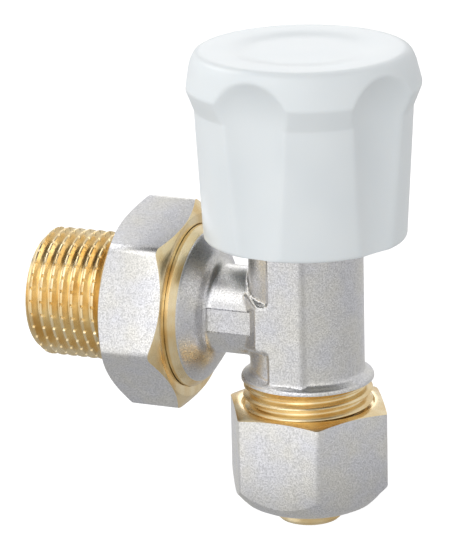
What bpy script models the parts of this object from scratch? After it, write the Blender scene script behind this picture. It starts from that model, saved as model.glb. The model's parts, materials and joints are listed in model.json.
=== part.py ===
"""Angle lockshield valve: a brass body between a union tail and a compression joint, with its cap.

The origin is where the pipe enters, at the foot of the pipe insert. +Z runs up the spindle, the branch
and its union point along -X, and the flat pad of the casting faces -Y. Sizes are in millimetres, and
the mesh helpers turn them into metres. The valve is shut and every joint is tightened.
"""

import math

import bmesh
import bpy
from mathutils import Matrix

MM = 0.001
GAP = 0.3  # between neighbours that touch on the real valve
SEAL_GAP = 0.15  # round a rubber ring, which the real groove squeezes
ROUND_STEPS = 36
SMALL_STEPS = 24
RING_SIDES = 6
RING_SECTION = 0.5  # radius of a rubber ring's section, in a groove this high:
GROOVE_HEIGHT = 1.5

# Pipe threads: outside diameter, pitch and depth of the parallel G series
HALF_INCH_RADIUS = 20.955 / 2
THREE_QUARTER_RADIUS = 26.441 / 2
PITCH = 1.814
THREAD_DEPTH = 1.162

# Pipe that the compression joint holds
PIPE_RADIUS = 8.0
PIPE_BORE_RADIUS = 5.4

# Waterway, and what fits in it; heights are measured from the branch's axis
BRANCH_HEIGHT = 33.9
THROAT_RADIUS = 5.0
SEAT_BELOW_BRANCH = 4.4
SEAT_HEIGHT = BRANCH_HEIGHT - SEAT_BELOW_BRANCH
SEAT_WIDTH = 1.0
SEAT_RISE = 1.2
SHUTTER_RADIUS = THROAT_RADIUS + SEAT_WIDTH + 0.5
CHAMBER_RADIUS = SHUTTER_RADIUS + 0.4
CHAMBER_ABOVE_BRANCH = 7.1
CHAMBER_TOP = BRANCH_HEIGHT + CHAMBER_ABOVE_BRANCH
BRANCH_BORE_RADIUS = 5.0
BONNET_THREAD_RADIUS = CHAMBER_RADIUS + 0.6

# Body, up the spindle axis
BARREL_WALL = 1.4
BARREL_RADIUS = BONNET_THREAD_RADIUS + GAP + BARREL_WALL
INLET_END = 11.0
INLET_THREAD_LENGTH = 12.9
BEAD_RADIUS = 10.7
BEAD_HEIGHT = 2.4
BEAD_FLARE = 1.6
BARREL_ABOVE_BRANCH = 16.1
BARREL_TOP = BRANCH_HEIGHT + BARREL_ABOVE_BRANCH
PAD_HALF_WIDTH = 2.85
PAD_PROUD = 0.35
PAD_ROOT = 5.5
PAD_ARM_REACH = 5.1
PAD_ARM_HALF_HEIGHT = 3.75

# Body, out along the branch; each place is its distance from the spindle axis
OUTLET_END = 26.5
OUTLET_THREAD_LENGTH = 6.9
COLLAR_WIDTH = 2.0
COLLAR_END = OUTLET_END - OUTLET_THREAD_LENGTH
COLLAR_START = COLLAR_END - COLLAR_WIDTH
FLANGE_BACK_LENGTH = 3.4
NECK_END = COLLAR_START - FLANGE_BACK_LENGTH
NECK_RADIUS = 7.15
BAND_HALF_HEIGHT = 1.95
BAND_DEPTH = 0.12
TAIL_SOCKET_RADIUS = 8.6
TAIL_SOCKET_DEPTH = 4.5

# Union nut and tail
UNION_NUT_FLATS = 30.0
UNION_NUT_FACE = COLLAR_END - 0.4
UNION_NUT_TURN = 15.5  # degrees from straight up to its nearest corner
UNION_LIP = 1.5
TAIL_FLANGE_RADIUS = 11.9
TAIL_FLANGE_WIDTH = 1.5
TAIL_BORE_RADIUS = 7.5
TAIL_LENGTH = 18.6
TAIL_THREAD_LENGTH = 13.4
SPIGOT_WALL = 2.3
TAIL_GROOVE_DEPTH = 1.0
KEY_LUG_HEIGHT = 1.2
KEY_LUG_ROOT = 0.6
KEY_LUG_HALF_WIDTH = 1.2
KEY_LUG_START = 9.0
KEY_LUG_END = 3.0

# Compression nut, split ring and pipe insert
PIPE_NUT_FLATS = 24.0
PIPE_NUT_BOTTOM = 2.9
PIPE_NUT_HEIGHT = 16.8
PIPE_NUT_TURN = -2.5  # degrees from +X to its nearest corner
PIPE_NUT_FOOT_RADIUS = 9.95
SPLIT_RING_WALL = 1.5
SPLIT_WIDTH = 1.0
INSERT_BORE_RADIUS = 3.6
TUBE_GROOVE_DEPTH = 0.8
SPIGOT_GROOVE_DEPTH = 0.9
INSERT_FLANGE_HEIGHT = 1.7
SPIGOT_RADIUS = 6.1
SPIGOT_LENGTH = 4.6
WASHER_HEIGHT = 0.9

# Headwork
BONNET_FLATS = 19.0
BONNET_FLANGE_HEIGHT = 5.2
BONNET_NECK_RADIUS = 6.5
BONNET_NECK_HEIGHT = 9.5
GASKET_HEIGHT = 0.7
SPINDLE_THREAD_RADIUS = 5.0
SPINDLE_THREAD_LENGTH = 4.0
SPINDLE_RADIUS = 4.05
SPINDLE_PROUD = 1.5
SPINDLE_GROOVE_DEPTH = 0.9
HEX_SOCKET_FLATS = 6.0
HEX_SOCKET_DEPTH = 7.0
STEM_RADIUS = 2.5
BUTTON_RADIUS = 3.4
BUTTON_HEIGHT = 1.6
LIFT = 4.5

# Shutter
SHUTTER_RIM = 0.4
SHUTTER_RIM_HEIGHT = 1.4
SEAL_HEIGHT = 1.8
SHUTTER_PLATE = 2.7
SCREW_RADIUS = 1.3
SCREW_HEAD_RADIUS = 2.6
SCREW_HEAD_HEIGHT = 0.9

# Cap
CAP_OVERLAP = 2.5
CAP_BOTTOM = BARREL_TOP - CAP_OVERLAP
CAP_HEIGHT = 30.5
CAP_TOP_RADIUS = 16.85
DISH_DEPTH = 0.35
CROWN_RADIUS = 18.75
CROWN_HEIGHT = 5.8
SOFFIT_HEIGHT = 3.3
GRIP_TOP_RADIUS = 17.4
GRIP_BOTTOM_RADIUS = 16.2
CAP_WALL = 1.9
FLUTES = 5
FLUTE_ANGLE = -96.0
FLUTE_RADIUS = 12.5
FLUTE_FLOOR_RADIUS = 15.4
FLUTE_RISE = 3.9
BUSH_WALL = 2.8
BUSH_RADIUS = BONNET_NECK_RADIUS + BUSH_WALL
BUSH_HEIGHT = 13.2
BOSS_WALL = 1.3
CLIP_DEPTH = 0.6
CLIP_HEIGHT = 1.4

PLATED = ((0.62, 0.61, 0.60), 0.38, 1.0)
BRASS = ((0.72, 0.46, 0.17), 0.25, 1.0)
STEEL = ((0.52, 0.53, 0.55), 0.30, 1.0)
RUBBER = ((0.02, 0.02, 0.02), 0.60, 0.0)
WHITE_ABS = ((0.76, 0.80, 0.82), 0.35, 0.0)
NYLON = ((0.70, 0.69, 0.64), 0.50, 0.0)
PTFE = ((0.85, 0.85, 0.83), 0.45, 0.0)

for old in list(bpy.data.objects):
    bpy.data.objects.remove(old, do_unlink=True)

PARTS = bpy.data.collections.new("lockshield_valve")
CUTTERS = bpy.data.collections.new("cutters")
bpy.context.scene.collection.children.link(PARTS)
bpy.context.scene.collection.children.link(CUTTERS)

# The branch frame: its local +Z points out along -X, and its local +X points up.
BRANCH_TURN = math.radians(-90)
BRANCH_PLACE = (0, 0, BRANCH_HEIGHT * MM)


def material(name, finish):
    """A plain Principled material from a colour, a roughness and a metallic value."""
    made = bpy.data.materials.get(name)
    if made:
        return made
    colour, roughness, metallic = finish
    made = bpy.data.materials.new(name)
    made.use_nodes = True
    shader = made.node_tree.nodes["Principled BSDF"]
    shader.inputs["Base Color"].default_value = (*colour, 1)
    shader.inputs["Roughness"].default_value = roughness
    shader.inputs["Metallic"].default_value = metallic
    return made


def add(name, mesh, finish=None, on_branch=False):
    """Puts a mesh in the scene as a part with its finish or, without one, as a hidden cutter."""
    obj = bpy.data.objects.new(name, mesh)
    if finish:
        mesh.materials.append(material(name, finish))
        PARTS.objects.link(obj)
    else:
        CUTTERS.objects.link(obj)
        obj.hide_render = True
        obj.display_type = "WIRE"
    if on_branch:
        obj.location = BRANCH_PLACE
        obj.rotation_euler = (0, BRANCH_TURN, 0)
    return obj


def turned(name, profile, finish=None, on_branch=False, steps=ROUND_STEPS, ring=True):
    """A turned piece. Its profile of (radius, height) points runs down the outer side.

    A ring's profile closes on itself; a solid one starts and ends on the axis.
    """
    mesh = bpy.data.meshes.new(name)
    points = [(radius * MM, 0, height * MM) for radius, height in profile]
    edges = [(i, i + 1) for i in range(len(points) - 1)]
    if ring:
        edges.append((len(points) - 1, 0))
    mesh.from_pydata(points, edges, [])
    obj = add(name, mesh, finish, on_branch)
    screw = obj.modifiers.new("turn", "SCREW")
    screw.steps = screw.render_steps = steps
    screw.use_merge_vertices = True
    screw.merge_threshold = 0.000001
    screw.use_smooth_shade = False
    return obj


def prism(name, radius, low, high, sides, turn=0.0, finish=None, on_branch=False):
    """A straight prism up the local Z axis, with a corner so many degrees round from local +X."""
    mesh = bpy.data.meshes.new(name)
    shape = bmesh.new()
    middle = Matrix.Translation((0, 0, (low + high) / 2 * MM))
    spin = Matrix.Rotation(math.radians(turn - 90), 4, "Z")
    bmesh.ops.create_cone(
        shape, cap_ends=True, segments=sides, radius1=radius * MM, radius2=radius * MM,
        depth=(high - low) * MM, matrix=middle @ spin,
    )
    shape.to_mesh(mesh)
    shape.free()
    return add(name, mesh, finish, on_branch)


def box(name, low, high, on_branch=False):
    """A hidden box between two corners."""
    mesh = bpy.data.meshes.new(name)
    shape = bmesh.new()
    size = [(b - a) * MM for a, b in zip(low, high)]
    centre = [(a + b) / 2 * MM for a, b in zip(low, high)]
    bmesh.ops.create_cube(shape, size=1, matrix=Matrix.LocRotScale(centre, None, size))
    shape.to_mesh(mesh)
    shape.free()
    return add(name, mesh, on_branch=on_branch)


def combine(obj, other, operation):
    """Cuts, joins or intersects with a hidden shape, as a modifier."""
    step = obj.modifiers.new(other.name, "BOOLEAN")
    step.operation = operation
    step.object = other


def seal(name, inner_radius, height, section, finish=RUBBER, on_branch=False):
    """A rubber or wire ring whose inside lies on inner_radius."""
    bpy.ops.mesh.primitive_torus_add(
        major_radius=(inner_radius + section) * MM, minor_radius=section * MM,
        major_segments=SMALL_STEPS, minor_segments=RING_SIDES,
    )
    made = bpy.context.object
    mesh = made.data
    mesh.transform(Matrix.Translation((0, 0, height * MM)))
    bpy.data.objects.remove(made)
    return add(name, mesh, finish, on_branch)


def thread(radius, top, length):
    """The points of a V thread from its top down, one ridge to a pitch."""
    ridges = int(length / PITCH)
    points = []
    for i in range(ridges):
        crest = top - (i + 0.5) * PITCH
        points += [(radius, crest), (radius - THREAD_DEPTH, crest - PITCH / 2)]
    return points


def groove(radius, middle, height, depth):
    """The points of a square groove cut into an outer side, from its top down."""
    high, low = middle + height / 2, middle - height / 2
    return [(radius, high), (radius - depth, high), (radius - depth, low), (radius, low)]


def smooth(obj, angle=35):
    """Shades the round faces smooth and keeps the corners sharp."""
    obj.data.shade_smooth()
    for modifier in obj.modifiers:
        if modifier.type == "SCREW":
            modifier.use_smooth_shade = True
    obj.data.set_sharp_from_angle(angle=math.radians(angle))


def make_body():
    """The cast body: barrel, bead, inlet thread, branch, collar and outlet thread, bored through."""
    thread_top = INLET_END + INLET_THREAD_LENGTH
    bead_top = thread_top + BEAD_HEIGHT
    outer = [(0, BARREL_TOP), (BARREL_RADIUS, BARREL_TOP), (BARREL_RADIUS, bead_top + BEAD_FLARE)]
    outer += [(BEAD_RADIUS, bead_top), (BEAD_RADIUS, thread_top)]
    outer += [(HALF_INCH_RADIUS - THREAD_DEPTH, thread_top)]
    outer += thread(HALF_INCH_RADIUS, thread_top, INLET_THREAD_LENGTH)
    outer += [(HALF_INCH_RADIUS - THREAD_DEPTH, INLET_END), (0, INLET_END)]
    body = turned("valve_body", outer, PLATED, ring=False)

    thread_in = COLLAR_END + GAP
    branch = [(0, OUTLET_END), (THREE_QUARTER_RADIUS - THREAD_DEPTH, OUTLET_END)]
    branch += thread(THREE_QUARTER_RADIUS, OUTLET_END, OUTLET_END - thread_in)
    branch += [(THREE_QUARTER_RADIUS, thread_in), (THREE_QUARTER_RADIUS, COLLAR_START + 1)]
    branch += [(THREE_QUARTER_RADIUS - 0.9, COLLAR_START)]
    branch += [(NECK_RADIUS + 2.0, NECK_END + 1.2), (NECK_RADIUS + 0.6, NECK_END + 0.6)]
    branch += [(NECK_RADIUS, NECK_END - 0.6), (NECK_RADIUS, 0), (0, 0)]
    combine(body, turned("branch", branch, on_branch=True, ring=False), "UNION")

    pad_face = -(BARREL_RADIUS + PAD_PROUD)
    pad_low = (-PAD_HALF_WIDTH, pad_face, thread_top + 0.4)
    pad = box("pad", pad_low, (PAD_HALF_WIDTH, -PAD_ROOT, BARREL_TOP - GAP))
    arm_low = BRANCH_HEIGHT - PAD_ARM_HALF_HEIGHT
    arm_high = BRANCH_HEIGHT + PAD_ARM_HALF_HEIGHT
    arm = box("pad_arm", (-PAD_ARM_REACH, pad_face, arm_low), (0, -PAD_ROOT, arm_high))
    combine(body, pad, "UNION")
    combine(body, arm, "UNION")

    band_face = -math.sqrt(NECK_RADIUS**2 - BAND_HALF_HEIGHT**2) - BAND_DEPTH
    band_low = BRANCH_HEIGHT - BAND_HALF_HEIGHT
    band_high = BRANCH_HEIGHT + BAND_HALF_HEIGHT
    band_start = (-NECK_END - 0.8, -NECK_RADIUS - 1, band_low)
    cut = box("band", band_start, (-PAD_ARM_REACH - 0.2, band_face, band_high))
    combine(body, cut, "DIFFERENCE")

    spigot_bore = SPIGOT_RADIUS + GAP
    socket = PIPE_RADIUS + GAP
    socket_top = flange_top() + GAP
    bonnet_bore = BONNET_THREAD_RADIUS + GAP
    chamber_floor = SEAT_HEIGHT - SEAT_RISE
    seat_edge = THROAT_RADIUS + SEAT_WIDTH
    bore = [(0, BARREL_TOP + 1), (bonnet_bore, BARREL_TOP + 1)]
    bore += [(bonnet_bore, CHAMBER_TOP), (CHAMBER_RADIUS, CHAMBER_TOP)]
    bore += [(CHAMBER_RADIUS, chamber_floor), (seat_edge, chamber_floor)]
    bore += [(seat_edge, SEAT_HEIGHT), (THROAT_RADIUS, SEAT_HEIGHT)]
    bore += [(THROAT_RADIUS, spigot_top() + GAP), (spigot_bore, spigot_top() + GAP)]
    bore += [(spigot_bore, socket_top), (socket, socket_top)]
    bore += [(socket, INLET_END - 1), (0, INLET_END - 1)]
    combine(body, turned("waterway", bore, ring=False), "DIFFERENCE")

    outlet = [(0, OUTLET_END + 1), (TAIL_SOCKET_RADIUS, OUTLET_END + 1)]
    outlet += [(TAIL_SOCKET_RADIUS, OUTLET_END - TAIL_SOCKET_DEPTH)]
    outlet += [(BRANCH_BORE_RADIUS, OUTLET_END - TAIL_SOCKET_DEPTH), (BRANCH_BORE_RADIUS, 1), (0, 1)]
    combine(body, turned("outlet_bore", outlet, on_branch=True, ring=False), "DIFFERENCE")
    smooth(body)


def chamfered_hexagon(name, flats, low, high, turn, chamfers, finish, on_branch):
    """A hexagon whose corners are turned off at each end by (end radius, depth) cones."""
    corner = flats / math.sqrt(3)
    nut = prism(name, corner, low, high, 6, turn, finish, on_branch)
    (low_radius, low_depth), (high_radius, high_depth) = chamfers
    low_slope = low_depth / (corner - low_radius)
    high_slope = high_depth / (corner - high_radius)
    past = 0.2
    outline = [(0, high + past), (high_radius - past / high_slope, high + past)]
    outline += [(corner + past, high - high_depth - past * high_slope)]
    outline += [(corner + past, low + low_depth + past * low_slope)]
    outline += [(low_radius - past / low_slope, low - past), (0, low - past)]
    combine(nut, turned(name + "_envelope", outline, on_branch=on_branch, ring=False), "INTERSECT")
    return nut


def make_union():
    """The union nut, the tail that it draws up, and the ring that seals the tail."""
    flange_in = OUTLET_END + GAP
    flange_out = flange_in + TAIL_FLANGE_WIDTH
    lip_inner = flange_out + GAP
    lip_outer = lip_inner + UNION_LIP
    flats_radius = UNION_NUT_FLATS / 2
    nut = chamfered_hexagon(
        "union_nut", UNION_NUT_FLATS, UNION_NUT_FACE, lip_outer, UNION_NUT_TURN,
        ((flats_radius - 0.1, 1.8), (flats_radius - 0.3, 1.5)), PLATED, True,
    )
    tail_radius = HALF_INCH_RADIUS + GAP
    bore = [(0, lip_outer + 1), (tail_radius, lip_outer + 1), (tail_radius, lip_inner)]
    thread_bore = THREE_QUARTER_RADIUS + GAP
    bore += [(thread_bore, lip_inner), (thread_bore, UNION_NUT_FACE - 1), (0, UNION_NUT_FACE - 1)]
    combine(nut, turned("union_nut_bore", bore, on_branch=True, ring=False), "DIFFERENCE")
    smooth(nut)

    spigot = TAIL_SOCKET_RADIUS - GAP
    spigot_end = OUTLET_END - TAIL_SOCKET_DEPTH + GAP
    ring_place = (spigot_end + flange_in) / 2
    tail_end = flange_in + TAIL_LENGTH
    thread_end = tail_end - 0.3
    outer = [(HALF_INCH_RADIUS - THREAD_DEPTH, tail_end)]
    outer += thread(HALF_INCH_RADIUS, thread_end, TAIL_THREAD_LENGTH)
    outer += [(HALF_INCH_RADIUS, thread_end - TAIL_THREAD_LENGTH), (HALF_INCH_RADIUS, flange_out)]
    outer += [(TAIL_FLANGE_RADIUS, flange_out), (TAIL_FLANGE_RADIUS, flange_in), (spigot, flange_in)]
    outer += groove(spigot, ring_place, GROOVE_HEIGHT, TAIL_GROOVE_DEPTH)
    outer += [(spigot, spigot_end), (spigot - SPIGOT_WALL, spigot_end)]
    outer += [(spigot - SPIGOT_WALL, flange_in)]
    outer += [(TAIL_BORE_RADIUS, flange_out), (TAIL_BORE_RADIUS, tail_end)]
    tail = turned("union_tail", outer, BRASS, True)
    for side in (-1, 1):
        inner = side * (TAIL_BORE_RADIUS - KEY_LUG_HEIGHT)
        reach = side * (TAIL_BORE_RADIUS + KEY_LUG_ROOT)
        low = (min(inner, reach), -KEY_LUG_HALF_WIDTH, tail_end - KEY_LUG_START)
        high = (max(inner, reach), KEY_LUG_HALF_WIDTH, tail_end - KEY_LUG_END)
        combine(tail, box(f"key_lug_{side}", low, high, True), "UNION")
    smooth(tail)
    groove_floor = spigot - TAIL_GROOVE_DEPTH
    seal("tail_o_ring", groove_floor + SEAL_GAP, ring_place, RING_SECTION, on_branch=True)


def flange_bottom():
    """The underside of the insert's flange, which carries the insulating washer."""
    return INLET_END + WASHER_HEIGHT + 2 * GAP


def flange_top():
    return flange_bottom() + INSERT_FLANGE_HEIGHT


def spigot_top():
    return flange_top() + SPIGOT_LENGTH


def make_pipe_joint():
    """The compression nut, split ring, insulating washer and pipe insert with its three rings."""
    nut_top = PIPE_NUT_BOTTOM + PIPE_NUT_HEIGHT
    corner = PIPE_NUT_FLATS / math.sqrt(3)
    nut = chamfered_hexagon(
        "compression_nut", PIPE_NUT_FLATS, PIPE_NUT_BOTTOM, nut_top, PIPE_NUT_TURN,
        ((PIPE_NUT_FOOT_RADIUS, corner - PIPE_NUT_FOOT_RADIUS), (corner - 2.6, 0.7)), PLATED, False,
    )
    pipe_hole = PIPE_RADIUS + 0.2
    thread_bore = HALF_INCH_RADIUS + GAP
    cone_top = INLET_END - 2.1
    cone_bottom = cone_top - (thread_bore - pipe_hole)
    bore = [(0, nut_top + 1), (thread_bore, nut_top + 1), (thread_bore, cone_top)]
    bore += [(pipe_hole, cone_bottom)]
    bore += [(pipe_hole, PIPE_NUT_BOTTOM - 1), (0, PIPE_NUT_BOTTOM - 1)]
    combine(nut, turned("compression_nut_bore", bore, ring=False), "DIFFERENCE")
    smooth(nut)

    ring_top = INLET_END - GAP
    inner = pipe_hole
    outer = inner + SPLIT_RING_WALL
    blunt = inner + 0.3
    # The ring's cone runs parallel to the nut's, a gap of 0.5 mm above it along the axis.
    cone_rise = cone_bottom - pipe_hole + 0.5
    profile = [(outer - 0.5, ring_top), (outer, ring_top - 0.6), (outer, outer + cone_rise)]
    profile += [(blunt, blunt + cone_rise), (inner, blunt + cone_rise), (inner, ring_top)]
    ring = turned("split_ring", profile, BRASS, steps=SMALL_STEPS)
    split_low = (0, -SPLIT_WIDTH / 2, cone_bottom)
    split = box("ring_split", split_low, (outer + 1, SPLIT_WIDTH / 2, ring_top + 1))
    combine(ring, split, "DIFFERENCE")
    smooth(ring)

    tube = PIPE_BORE_RADIUS - 0.1
    groove_floor = tube - TUBE_GROOVE_DEPTH
    pipe_rings = (INLET_END - 2.6, INLET_END - 6.0)
    spigot_ring = (flange_top() + spigot_top()) / 2
    profile = [(SPIGOT_RADIUS - 0.5, spigot_top()), (SPIGOT_RADIUS, spigot_top() - 0.5)]
    profile += groove(SPIGOT_RADIUS, spigot_ring, GROOVE_HEIGHT, SPIGOT_GROOVE_DEPTH)
    profile += [(SPIGOT_RADIUS, flange_top()), (PIPE_RADIUS - 0.1, flange_top())]
    profile += [(PIPE_RADIUS - 0.1, flange_bottom()), (tube, flange_bottom())]
    for place in pipe_rings:
        profile += groove(tube, place, GROOVE_HEIGHT, TUBE_GROOVE_DEPTH)
    profile += [(tube, 0.5), (tube - 0.5, 0), (INSERT_BORE_RADIUS, 0)]
    profile += [(INSERT_BORE_RADIUS, spigot_top())]
    smooth(turned("pipe_insert", profile, BRASS, steps=SMALL_STEPS))
    for name, place in zip(("insert_o_ring_upper", "insert_o_ring_lower"), pipe_rings):
        seal(name, groove_floor + SEAL_GAP, place, RING_SECTION)
    spigot_floor = SPIGOT_RADIUS - SPIGOT_GROOVE_DEPTH
    seal("spigot_o_ring", spigot_floor + SEAL_GAP, spigot_ring, RING_SECTION - 0.05)
    low = INLET_END + GAP
    high = low + WASHER_HEIGHT
    washer = [(PIPE_RADIUS - 0.1, high), (PIPE_RADIUS - 0.1, low)]
    washer += [(tube + GAP, low), (tube + GAP, high)]
    smooth(turned("insulating_washer", washer, PTFE, steps=SMALL_STEPS))


def make_headwork():
    """The bonnet, its gasket, the spindle with its rings, and the shutter that the spindle lifts."""
    gasket_low = BARREL_TOP + GAP
    gasket_high = gasket_low + GASKET_HEIGHT
    washer = [(BARREL_RADIUS - 0.1, gasket_high), (BARREL_RADIUS - 0.1, gasket_low)]
    washer += [(BONNET_THREAD_RADIUS + GAP, gasket_low), (BONNET_THREAD_RADIUS + GAP, gasket_high)]
    smooth(turned("bonnet_gasket", washer, RUBBER, steps=SMALL_STEPS))

    flange_low = gasket_high + GAP
    flange_high = flange_low + BONNET_FLANGE_HEIGHT
    neck_top = flange_high + BONNET_NECK_HEIGHT
    corner = BONNET_FLATS / math.sqrt(3)
    bonnet = chamfered_hexagon(
        "bonnet", BONNET_FLATS, flange_low, flange_high, 0,
        ((corner - 1.4, 0.6), (corner - 1.4, 0.6)), BRASS, False,
    )
    stem = [(0, neck_top), (BONNET_NECK_RADIUS - 0.6, neck_top), (BONNET_NECK_RADIUS, neck_top - 0.6)]
    stem += [(BONNET_NECK_RADIUS, flange_high - 1), (BONNET_THREAD_RADIUS, flange_high - 1)]
    stem += [(BONNET_THREAD_RADIUS, CHAMBER_TOP + GAP), (0, CHAMBER_TOP + GAP)]
    combine(bonnet, turned("bonnet_stem", stem, steps=SMALL_STEPS, ring=False), "UNION")

    thread_top = spindle_thread_top()
    thread_bore = SPINDLE_THREAD_RADIUS + GAP
    shaft_bore = SPINDLE_RADIUS + GAP
    step = thread_top + LIFT + GAP
    bore = [(0, neck_top + 1), (shaft_bore, neck_top + 1), (shaft_bore, step), (thread_bore, step)]
    bore += [(thread_bore, CHAMBER_TOP - 1), (0, CHAMBER_TOP - 1)]
    combine(bonnet, turned("bonnet_bore", bore, steps=SMALL_STEPS, ring=False), "DIFFERENCE")
    smooth(bonnet)

    button_low = shutter_bottom() + SHUTTER_RIM_HEIGHT + SHUTTER_PLATE + 2.5
    button_high = button_low + BUTTON_HEIGHT
    spindle_top = neck_top + SPINDLE_PROUD
    ring_places = (step + 2.0, step + 5.0)
    profile = [(0, spindle_top), (SPINDLE_RADIUS - 0.4, spindle_top)]
    profile += [(SPINDLE_RADIUS, spindle_top - 0.4)]
    for place in reversed(ring_places):
        profile += groove(SPINDLE_RADIUS, place, GROOVE_HEIGHT, SPINDLE_GROOVE_DEPTH)
    profile += [(SPINDLE_RADIUS, thread_top), (SPINDLE_THREAD_RADIUS, thread_top)]
    profile += [(SPINDLE_THREAD_RADIUS, thread_top - SPINDLE_THREAD_LENGTH)]
    profile += [(STEM_RADIUS, thread_top - SPINDLE_THREAD_LENGTH), (STEM_RADIUS, button_high)]
    profile += [(BUTTON_RADIUS, button_high), (BUTTON_RADIUS, button_low + 0.4)]
    profile += [(BUTTON_RADIUS - 0.4, button_low), (0, button_low)]
    spindle = turned("spindle", profile, BRASS, steps=SMALL_STEPS, ring=False)
    socket_low = spindle_top - HEX_SOCKET_DEPTH
    key = prism("key_socket", HEX_SOCKET_FLATS / math.sqrt(3), socket_low, spindle_top + 1, 6)
    combine(spindle, key, "DIFFERENCE")
    smooth(spindle)
    for name, place in zip(("spindle_o_ring_lower", "spindle_o_ring_upper"), ring_places):
        seal(name, SPINDLE_RADIUS - SPINDLE_GROOVE_DEPTH + SEAL_GAP, place, RING_SECTION - 0.08)

    make_shutter(button_low, button_high)


def spindle_thread_top():
    """The top of the spindle's thread with the valve shut."""
    return CHAMBER_TOP + GAP + SPINDLE_THREAD_LENGTH + 3.1


def shutter_bottom():
    """The lower edge of the shutter's rim with the valve shut."""
    return SEAT_HEIGHT + GAP + SEAL_HEIGHT + GAP - SHUTTER_RIM_HEIGHT


def make_shutter(button_low, button_high):
    """The shutter, its seal and screw, and the clip that holds the spindle's button in it."""
    bottom = shutter_bottom()
    recess_top = bottom + SHUTTER_RIM_HEIGHT
    plate_top = recess_top + SHUTTER_PLATE
    cup = BUTTON_RADIUS + GAP
    clip_low = button_high + GAP
    clip_high = clip_low + 0.6
    top = clip_high + 0.8
    wall = SPINDLE_THREAD_RADIUS - 0.1
    hole = SCREW_RADIUS + GAP
    recess = SHUTTER_RADIUS - SHUTTER_RIM
    profile = [(wall, top), (wall, plate_top), (SHUTTER_RADIUS, plate_top), (SHUTTER_RADIUS, bottom)]
    profile += [(recess, bottom), (recess, recess_top), (hole, recess_top), (hole, plate_top)]
    profile += [(0, plate_top)]
    shutter = turned("shutter", [(0, top)] + profile, BRASS, steps=SMALL_STEPS, ring=False)
    groove_high, groove_low = clip_high + SEAL_GAP, clip_low - SEAL_GAP
    cup_shape = [(0, top + 1), (cup, top + 1), (cup, groove_high), (cup + 0.4, groove_high)]
    cup_shape += [(cup + 0.4, groove_low), (cup, groove_low)]
    cup_shape += [(cup, button_low - GAP), (0, button_low - GAP)]
    combine(shutter, turned("shutter_cup", cup_shape, steps=SMALL_STEPS, ring=False), "DIFFERENCE")
    smooth(shutter)

    clip_in, clip_out = STEM_RADIUS + GAP, cup + 0.25
    clip = [(clip_out, clip_high), (clip_out, clip_low), (clip_in, clip_low), (clip_in, clip_high)]
    ring = turned("spindle_clip", clip, STEEL, steps=SMALL_STEPS)
    split = box("clip_split", (0, -0.9, clip_low - 1), (clip_out + 1, 0.9, clip_high + 1))
    combine(ring, split, "DIFFERENCE")
    smooth(ring)

    seal_low, seal_high = SEAT_HEIGHT + GAP, SEAT_HEIGHT + GAP + SEAL_HEIGHT
    disc = [(recess - GAP, seal_high), (recess - GAP, seal_low), (hole, seal_low), (hole, seal_high)]
    smooth(turned("shutter_seal", disc, RUBBER, steps=SMALL_STEPS))

    head_high = seal_low - GAP
    head_low = head_high - SCREW_HEAD_HEIGHT
    screw = [(0, plate_top - GAP), (SCREW_RADIUS, plate_top - GAP), (SCREW_RADIUS, head_high)]
    screw += [(SCREW_HEAD_RADIUS, head_high), (SCREW_HEAD_RADIUS, head_low + 0.3)]
    screw += [(SCREW_HEAD_RADIUS - 0.3, head_low), (0, head_low)]
    screw = turned("shutter_screw", screw, BRASS, steps=SMALL_STEPS, ring=False)
    slot_reach = SCREW_HEAD_RADIUS + 1
    slot = box("screw_slot", (-slot_reach, -0.35, head_low - 1), (slot_reach, 0.35, head_low + 0.5))
    combine(screw, slot, "DIFFERENCE")
    smooth(screw)


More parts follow.
